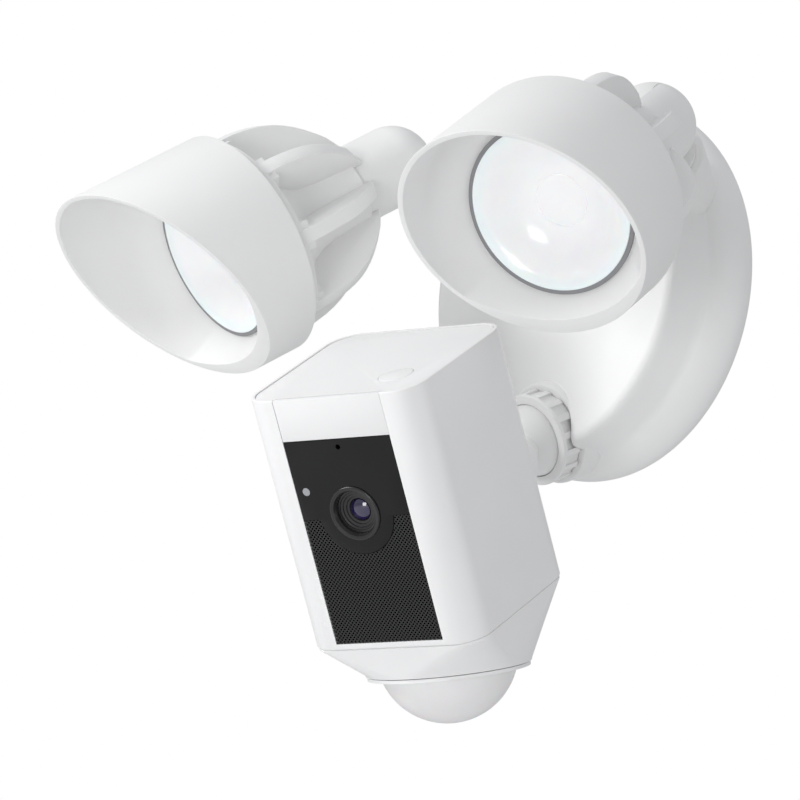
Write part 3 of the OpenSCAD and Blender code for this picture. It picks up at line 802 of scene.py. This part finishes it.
class FLOODLIGHT_OT_heatsinks(bpy.types.Operator):
    """Finned back of each lamp"""

    bl_idname = "floodlight.heatsinks"
    bl_label = "Heatsinks"

    def fin(self, sizes):
        """One curved fin, with the wider tab beside the hood."""
        near, front = -18 * MM, -sizes.reach - MM
        low, high = 14.9 * MM, 37.4 * MM
        top = [
            (18, 15.6), (20, 18.4), (22, 21), (24.5, 23.4), (27, 25.5), (30, 27.9), (33, 30), (36.5, 32.1),
            (40, 33.8), (44, 35.2), (48, 36.2), (52.5, 36.9), (57, 37.4),
        ]
        outline = [(-y * MM, r * MM) for y, r in top] + [(front, high), (front, low), (near, low)]
        fin = plate("fin", outline, sizes.fin_thick)
        eased(fin, 0.45 * MM, 2, 30)
        tab_half = sizes.fin_thick / 2 + 2.6 * MM
        tab_low, tab_high, tab_rear = 24 * MM, 36.2 * MM, -sizes.reach + 7.5 * MM
        tab = block("tab", (-tab_half, front, tab_low), (tab_half, tab_rear, tab_high))
        eased(tab, 0.4 * MM)
        return merged([fin, tab], "fin")

    def execute(self, context):
        sizes = context.scene.floodlight_lamp
        bore = sizes.neck_radius + 0.05 * MM
        start, end, rim = 22 * MM, sizes.reach + HEAD_OVERLAP, 37.3 * MM
        collar = [(1.6, 22.4), (2.2, 30), (3, 40), (4.2, 46), (6.5, 51.5)]
        flare = [(26, 56.5), (31, 60), (35.5, 62), (37.3, 63.2)]
        profile = [
            (bore, start),
            *((sizes.neck_radius + out * MM, y * MM) for out, y in collar),
            *((r * MM, y * MM) for r, y in flare),
            (rim, end),
            (bore, end),
            (bore, start),
        ]
        core = turned("core", profile)
        fins = []
        first = self.fin(sizes)
        for i in range(sizes.fins):
            fin = copy_of(first, "fin_copy")
            pick(fin)
            fin.rotation_euler = (0, math.tau * (i + 0.5) / sizes.fins, 0)
            bpy.ops.object.transform_apply()
            fins.append(fin)
        bpy.data.objects.remove(first)
        bowl = merged([core, *fins], "heatsink")
        for side in SIDES:
            piece = copy_of(bowl, side + "_fins")
            settled(piece, lamp_place(side), side + "_lamp", [side + "_heatsink"], "white_body", 30)
        bpy.data.objects.remove(bowl)
        return {"FINISHED"}


class FLOODLIGHT_OT_lenses(bpy.types.Operator):
    """Frosted lens of each lamp: a bowl whose flat middle shows as a round spot"""

    bl_idname = "floodlight.lenses"
    bl_label = "Lenses"

    def execute(self, context):
        sizes = context.scene.floodlight_lamp
        radius, rear = sizes.lens_radius, sizes.reach + LENS_SEAT
        rim = rear + 1.2 * MM
        floor = rim - sizes.lens_depth
        spot = 9 * MM
        drawn_depth = 8.6
        bowl = [
            (26.6, 0.25), (25.4, 0.6), (24.3, 1.1), (22.8, 2.1), (21.0, 3.5), (19.2, 4.9), (17.2, 6.2),
            (15.0, 7.3), (12.4, 8.1),
        ]
        profile = [
            (radius - 2.4 * MM, rear),
            (radius, rear),
            (radius, rim - 0.1 * MM),
            (radius - 0.3 * MM, rim + 0.05 * MM),
            (radius - 0.9 * MM, rim),
            *((r * MM, rim - sizes.lens_depth * deep / drawn_depth) for r, deep in bowl),
            (spot + 0.3 * MM, floor + 0.05 * MM),
            (spot + 0.1 * MM, floor - 0.25 * MM),
            (spot - 0.1 * MM, floor),
            (0, floor),
        ]
        lens = turned("lens", profile, 128)
        for side in SIDES:
            piece = copy_of(lens, side + "_lamp_lens")
            settled(piece, lamp_place(side), side + "_lamp", [side + "_lens"], "frosted_lens")
        bpy.data.objects.remove(lens)
        return {"FINISHED"}


# ---- Camera mount ------------------------------------------------------------


class FLOODLIGHT_OT_ring(bpy.types.Operator):
    """Notched ring that clamps the camera's ball"""

    bl_idname = "floodlight.ring"
    bl_label = "Clamp ring"

    def execute(self, context):
        radius, front, rear, bore = 16.4 * MM, 3.8 * MM, -4.3 * MM, 13.7 * MM
        ledge = 0.2 * MM
        notches, notch_deep, notch_half = 16, 0.95 * MM, 2 * MM
        ease, edge = 0.5 * MM, 1.6 * MM
        mouth = (math.sqrt(bore**2 - front**2), front)
        profile = [
            mouth,
            *arc((radius - ease, front - ease), ease, 90, 0, 3),
            (radius, front - edge),
            (radius, rear + edge),
            *arc((radius - ease, rear + ease), ease, 0, -90, 3),
            (SOCKET_RADIUS, rear),
            (SOCKET_RADIUS, ledge),
            (bore, ledge),
            mouth,
        ]
        ring = turned("ring", profile, notches * 8)
        for i in range(notches):
            angle = math.tau * (i + 0.5) / notches
            low = (-notch_half, -front + 1.5 * MM, radius - notch_deep)
            tool = block("tool", low, (notch_half, -rear + MM, radius + 4 * MM))
            pick(tool)
            tool.rotation_euler = (0, angle, 0)
            bpy.ops.object.transform_apply()
            joined_solid(ring, tool, "DIFFERENCE")
        eased(ring, 0.25 * MM, 2, 40)
        settled(ring, MOUNT_PLACE, "locking_ring", ["locking_ring"], "white_cast")
        ring.name = "clamp_ring"
        return {"FINISHED"}


# ---- Camera module -----------------------------------------------------------


def housing_box(sizes, shrink, low, high):
    """The housing's rounded prism between two heights, shrunk by a margin."""
    half = sizes.width / 2 - shrink
    front, rear = -sizes.back - sizes.depth + shrink, -sizes.back - shrink
    piece = block("prism", (-half, front, low), (half, rear, high))
    upright_round(piece, sizes.corner - shrink)
    return piece


class FLOODLIGHT_OT_housing(bpy.types.Operator):
    """Camera housing with its boss, and the lid with the setup button"""

    bl_idname = "floodlight.housing"
    bl_label = "Camera housing"

    boss_end, boss_radius, boss_fillet = 20 * MM, 12 * MM, 4 * MM
    stem_bore = 6.05 * MM
    button_radius, button_deep = 6 * MM, 3.4 * MM
    button_right, button_behind = 17 * MM, 18.5 * MM

    def upright_disc(self, name, radius, depth, place):
        """A short upright cylinder round a place on the lid."""
        deselect()
        bpy.ops.mesh.primitive_cylinder_add(vertices=64, radius=radius, depth=depth, location=place)
        piece = started(name)
        bpy.ops.object.transform_apply()
        return piece

    def hollowed(self, shell, sizes):
        """Cuts the room inside the housing and the lid's ledge round its top."""
        low, high = sizes.bottom, sizes.bottom + sizes.height
        for shrink, bottom, top in (
            (2.5 * MM, low - MM, high - 3 * MM),
            (1.2 * MM, high - 2.2 * MM, high + MM),
            (4.5 * MM, high - 6 * MM, high),
        ):
            joined_solid(shell, housing_box(sizes, shrink, bottom, top), "DIFFERENCE")

    def boss(self, sizes):
        """The boss behind the housing, with a fillet round its free end."""
        end, radius, fillet = self.boss_end, self.boss_radius, self.boss_fillet
        root = sizes.back + MM
        rounded = arc((radius - fillet, end + fillet), fillet, -90, 0, 8)
        return turned("boss", [(0, end), *rounded, (radius, root), (0, root)])

    def execute(self, context):
        sizes = context.scene.floodlight_camera
        low, high = sizes.bottom, sizes.bottom + sizes.height
        front = sizes.back + sizes.depth
        half = sizes.panel_width / 2 + FIT_GAP
        shell = housing_box(sizes, 0, low, high)
        eased(shell, 0.45 * MM, 3, 60)
        self.hollowed(shell, sizes)
        slot = block("slot", (-half, -front - MM, low + 2.1 * MM), (half, -front + 8 * MM, high + MM))
        joined_solid(shell, slot, "DIFFERENCE")
        joined_solid(shell, self.boss(sizes))
        joined_solid(shell, rod("bore", self.stem_bore, 0, sizes.back + 6 * MM), "DIFFERENCE")
        settled(shell, CAMERA_PLACE, "camera", ["camera_housing"], "satin_white", 30)
        shell.name = "camera_shell"

        lid = housing_box(sizes, 1.4 * MM, high - 2 * MM, high - 0.3 * MM)
        eased(lid, 0.35 * MM, 3, 60)
        button_at = Vector((self.button_right, -front + self.button_behind, high))
        hole = self.upright_disc("hole", self.button_radius + FIT_GAP, 10 * MM, button_at)
        joined_solid(lid, hole, "DIFFERENCE")
        notch_rear = -front + 2.5 * MM
        notch = block("notch", (-half, -front - MM, high - 10 * MM), (half, notch_rear, high + 10 * MM))
        joined_solid(lid, notch, "DIFFERENCE")
        settled(lid, CAMERA_PLACE, "camera", ["top_cover"], "satin_white", 30)
        lid.name = "camera_lid"

        sunk = button_at - Vector((0, 0, 1.9 * MM))
        button = self.upright_disc("button", self.button_radius, self.button_deep, sunk)
        eased(button, 0.3 * MM, 3)
        settled(button, CAMERA_PLACE, "setup_button", ["setup_button"], "satin_white", 30)
        button.name = "push_button"
        return {"FINISHED"}


class FLOODLIGHT_OT_front(bpy.types.Operator):
    """Blank plate, black glass, pierced grille and lens of the camera"""

    bl_idname = "floodlight.front"
    bl_label = "Camera front"

    def grille(self, sizes, height):
        """A flat sheet of square holes in slanting rows, from z = 0 up, drawn in the XY plane."""
        pitch = sizes.hole_pitch
        reach = (sizes.panel_width + height) / math.sqrt(2)
        count = math.ceil(reach / pitch) + 1
        deselect()
        bpy.ops.mesh.primitive_grid_add(x_subdivisions=1, y_subdivisions=1, size=pitch)
        sheet = started("grille_sheet")
        edit(sheet, "SELECT")
        bpy.ops.mesh.inset(thickness=pitch * 0.18)
        select_where(sheet, "FACE", lambda f: f.center.length < 0.01 * MM)
        bpy.ops.mesh.delete(type="FACE")
        leave()
        for step in ((1, 0, 0), (0, 1, 0)):
            modified(
                sheet, "ARRAY", count=count, use_relative_offset=True, relative_offset_displace=step,
                use_merge_vertices=True, merge_threshold=0.01 * MM,
            )
        shift = (1 - count) * pitch / 2
        turn = Matrix.Rotation(math.radians(45), 4, "Z") @ Matrix.Translation((shift, shift, 0))
        moved(Matrix.Translation((0, height / 2, 0)) @ turn, sheet)
        edges = [((side * sizes.panel_width / 2, 0, 0), (side, 0, 0)) for side in (-1, 1)]
        edges += [((0, 0, 0), (0, -1, 0)), ((0, height, 0), (0, 1, 0))]
        for point, normal in edges:
            edit(sheet, "SELECT")
            bpy.ops.mesh.bisect(plane_co=point, plane_no=normal, clear_outer=True)
            leave()
        return sheet

    thick = 2.2 * MM
    disc_radius = 14.5 * MM
    lens_below, glass_below = 26.3 * MM, 27.9 * MM
    bezel_bore, bezel_seat = 7.5 * MM, 9.6 * MM
    barrel_radius, barrel_bore, barrel_deep = 7.45 * MM, 3.7 * MM, 20 * MM

    def at(self, x, z, piece):
        """Moves a turned piece to a place on the front."""
        return moved(Matrix.Translation((x, 0, z)), piece)

    def name_strip(self, sizes, front, panel_top):
        half, high = sizes.panel_width / 2, sizes.bottom + sizes.height
        strip = block(
            "blank_plate", (-half, -front, panel_top + 0.1 * MM), (half, -front + self.thick, high - 0.1 * MM)
        )
        eased(strip, 0.2 * MM)
        settled(strip, CAMERA_PLACE, "camera", ["name_plate"], "gloss_white")

    def glass(self, sizes, front, panel_top, lens_at):
        """The black panel, with a round part about the lens and holes for the lens, microphone and sensor."""
        half = sizes.panel_width / 2
        low = panel_top - self.glass_below
        glass = block("glass", (-half, -front, low), (half, -front + self.thick, panel_top))
        disc = rod("disc", self.disc_radius, front - self.thick, front, 0, 96)
        joined_solid(glass, self.at(0, lens_at, disc))
        eased(glass, 0.18 * MM, 2, 40)
        for x, z, radius in (
            (0, lens_at, self.bezel_seat),
            (0, panel_top - 2.8 * MM, 0.9 * MM),
            (-17 * MM, panel_top - 17.8 * MM, 1.4 * MM),
        ):
            hole = self.at(x, z, rod("hole", radius, front - 5 * MM, front + 5 * MM, 0, 48))
            joined_solid(glass, hole, "DIFFERENCE")
        settled(glass, CAMERA_PLACE, "camera", ["glass_panel"], "black_gloss", 30)
        glass.name = "front_glass"

    def pierced(self, sizes, front, low, top, lens_at):
        """The grille's pierced sheet and its backing, both cut round the disc about the lens."""
        half = sizes.panel_width / 2
        sheet = self.grille(sizes, top - low)
        modified(sheet, "SOLIDIFY", thickness=0.8 * MM, offset=-1)
        upright = Matrix.Translation((0, -front + 0.2 * MM, low)) @ Matrix.Rotation(math.radians(90), 4, "X")
        moved(upright, sheet)
        backing = block("backing", (-half, -front + 1.4 * MM, low), (half, -front + 2.1 * MM, top))
        for layer in (sheet, backing):
            cutter = rod("cutter", self.disc_radius + FIT_GAP, front - 8 * MM, front + 5 * MM, 0, 96)
            joined_solid(layer, self.at(0, lens_at, cutter), "DIFFERENCE")
        sheet = merged([sheet, backing], "grille_sheet")
        settled(sheet, CAMERA_PLACE, "camera", ["speaker_grille"], "black_mesh", 30)
        sheet.name = "pierced_grille"

    def lens(self, front, lens_at):
        """Bezel, stepped barrel and coated front glass of the camera's lens."""
        bore, rear = self.bezel_bore, front - 4 * MM
        profile = [
            (bore, rear),
            (bore, front - 0.6 * MM),
            (8.1 * MM, front + 0.5 * MM),
            *arc((9.0 * MM, front + 0.2 * MM), 0.55 * MM, 120, 0, 5),
            (9.55 * MM, rear),
            (bore, rear),
        ]
        bezel = self.at(0, lens_at, turned("bezel", profile))
        settled(bezel, CAMERA_PLACE, "camera", ["lens_ring"], "black_trim", 25)
        bezel.name = "lens_bezel"

        steps = [
            (7.45, 1.5), (6.8, 1.5), (6.6, 1.9), (6.0, 2.1), (5.8, 2.5), (5.0, 2.7), (4.8, 3.1), (4.1, 3.2),
            (3.7, 3.8),
        ]
        rear = front - self.barrel_deep
        profile = [
            (self.barrel_radius, rear),
            *((r * MM, front - deep * MM) for r, deep in steps),
            (self.barrel_bore, rear),
            (self.barrel_radius, rear),
        ]
        barrel = self.at(0, lens_at, turned("barrel", profile))
        settled(barrel, CAMERA_PLACE, "camera", ["lens_barrel"], "black_trim", 25)
        barrel.name = "stepped_barrel"

        ball, glass_edge = 6.5 * MM, self.barrel_bore - 0.05 * MM
        top = front - 2.2 * MM
        rear = top - 3.5 * MM
        edge = math.degrees(math.acos(glass_edge / ball))
        profile = [(0, rear), (glass_edge, rear), *arc((0, top - ball), ball, edge, 90, 12)]
        eye = self.at(0, lens_at, turned("eye", profile, 64))
        settled(eye, CAMERA_PLACE, "camera", ["lens_glass"], "lens_coated", 25)
        eye.name = "camera_eye"

    def execute(self, context):
        sizes = context.scene.floodlight_camera
        front = sizes.back + sizes.depth
        panel_low = sizes.bottom + 2.2 * MM
        panel_top = panel_low + sizes.panel_height
        lens_at = panel_top - self.lens_below
        self.name_strip(sizes, front, panel_top)
        self.glass(sizes, front, panel_top, lens_at)
        self.pierced(sizes, front, panel_low, panel_top - self.glass_below - 0.1 * MM, lens_at)
        self.lens(front, lens_at)
        return {"FINISHED"}


class FLOODLIGHT_OT_motion(bpy.types.Operator):
    """Tapered collar and frosted dome under the camera"""

    bl_idname = "floodlight.motion"
    bl_label = "Motion sensor"

    sensor_forward, sensor_below = 3.3 * MM, 20.2 * MM
    skirt = 3 * MM

    def square_loop(self, half, radius, z, centre_y):
        """A loop of edges in the shape of the housing, with round corners, at one height."""
        deselect()
        bpy.ops.mesh.primitive_plane_add(size=2, location=(0, centre_y, z))
        loop = started("loop")
        loop.scale = (*half, 1)
        bpy.ops.object.transform_apply()
        edit(loop, "SELECT")
        bpy.ops.mesh.bevel(offset=radius, offset_type="OFFSET", segments=14, affect="VERTICES")
        bpy.ops.mesh.select_all(action="SELECT")
        bpy.ops.mesh.delete(type="ONLY_FACE")
        leave()
        return loop

    def round_loop(self, radius, z, sensor):
        """A ring of edges round the sensor's own axis."""
        deselect()
        bpy.ops.mesh.primitive_circle_add(vertices=60, radius=radius, location=(0, 0, z))
        loop = started("loop")
        bpy.ops.object.transform_apply()
        return moved(sensor, loop)

    def execute(self, context):
        sizes = context.scene.floodlight_camera
        middle, top = -sizes.back - sizes.depth / 2, sizes.bottom - 0.1 * MM
        sensor_at = (0, middle - self.sensor_forward, sizes.bottom - self.sensor_below)
        sensor = Matrix.Translation(sensor_at) @ Matrix.Rotation(-sizes.sensor_lean, 4, "X")
        loops = []
        for margin, below in ((0.8 * MM, 0), (0.4 * MM, 0.3 * MM), (0.4 * MM, 0.9 * MM)):
            half = (sizes.width / 2 - margin, sizes.depth / 2 - margin)
            loops.append(self.square_loop(half, sizes.corner - margin, top - below, middle))
        rings = ((28.5, 1.0), (28.3, 0.3), (27.8, 0.0), (23.7, 0.0))
        loops += [self.round_loop(r * MM, z * MM, sensor) for r, z in rings]
        collar = merged(loops, "collar")
        edit(collar, "SELECT")
        bpy.ops.mesh.select_mode(type="EDGE")
        bpy.ops.mesh.bridge_edge_loops()
        leave()
        modified(collar, "SOLIDIFY", thickness=1.2 * MM, offset=-1)
        settled(collar, CAMERA_PLACE, "camera", ["motion_collar"], "satin_white", 40)
        collar.name = "sensor_collar"

        radius, height = sizes.dome_radius, sizes.dome_height
        ball = (radius**2 + height**2) / (2 * height)
        edge = math.degrees(math.acos(radius / ball))
        profile = [
            (radius - 1.5 * MM, -self.skirt),
            (radius, -self.skirt),
            *arc((0, height - ball), ball, edge, 90, 24),
        ]
        dome = turned("dome", profile, 128)
        moved(sensor @ Matrix.Rotation(math.radians(90), 4, "X"), dome)
        settled(dome, CAMERA_PLACE, "camera", ["motion_dome"], "frosted_dome")
        dome.name = "sensor_dome"
        return {"FINISHED"}


# ---- Carried-over nodes ------------------------------------------------------


class FLOODLIGHT_OT_finishes(bpy.types.Operator):
    """Gives every carried-over node the finish of its slot"""

    bl_idname = "floodlight.finishes"
    bl_label = "Finishes"

    def execute(self, context):
        made = finishes()
        for part in frame["record"]["subparts"]:
            materials = frame["nodes"][part["node"]].data.materials
            materials.clear()
            materials.append(made[part["material_slot"]])
        return {"FINISHED"}


class FLOODLIGHT_PT_panel(bpy.types.Panel):
    """Buttons of all the pieces"""

    bl_idname = "FLOODLIGHT_PT_panel"
    bl_label = "Floodlight camera"
    bl_space_type = "VIEW_3D"
    bl_region_type = "UI"
    bl_category = "Floodlight"

    def draw(self, context):
        for operator in OPERATORS:
            self.layout.operator(operator.bl_idname)


OPERATORS = (
    FLOODLIGHT_OT_stage,
    FLOODLIGHT_OT_finishes,
    FLOODLIGHT_OT_base,
    FLOODLIGHT_OT_hoods,
    FLOODLIGHT_OT_heatsinks,
    FLOODLIGHT_OT_lenses,
    FLOODLIGHT_OT_ring,
    FLOODLIGHT_OT_housing,
    FLOODLIGHT_OT_front,
    FLOODLIGHT_OT_motion,
)
GROUPS = {
    "floodlight_base": BaseSizes,
    "floodlight_lamp": LampSizes,
    "floodlight_camera": CameraSizes,
    "floodlight_colours": Colours,
    "floodlight_stage": StageSizes,
}


def register():
    for group in GROUPS.values():
        bpy.utils.register_class(group)
    for operator in OPERATORS:
        bpy.utils.register_class(operator)
    bpy.utils.register_class(FLOODLIGHT_PT_panel)
    for name, group in GROUPS.items():
        setattr(bpy.types.Scene, name, PointerProperty(type=group))


def unregister():
    for name in GROUPS:
        delattr(bpy.types.Scene, name)
    for kind in (FLOODLIGHT_PT_panel, *reversed(OPERATORS), *reversed(GROUPS.values())):
        bpy.utils.unregister_class(kind)


def main():
    register()
    for operator in OPERATORS:
        group, name = operator.bl_idname.split(".")
        getattr(getattr(bpy.ops, group), name)()


if __name__ == "__main__":
    main()
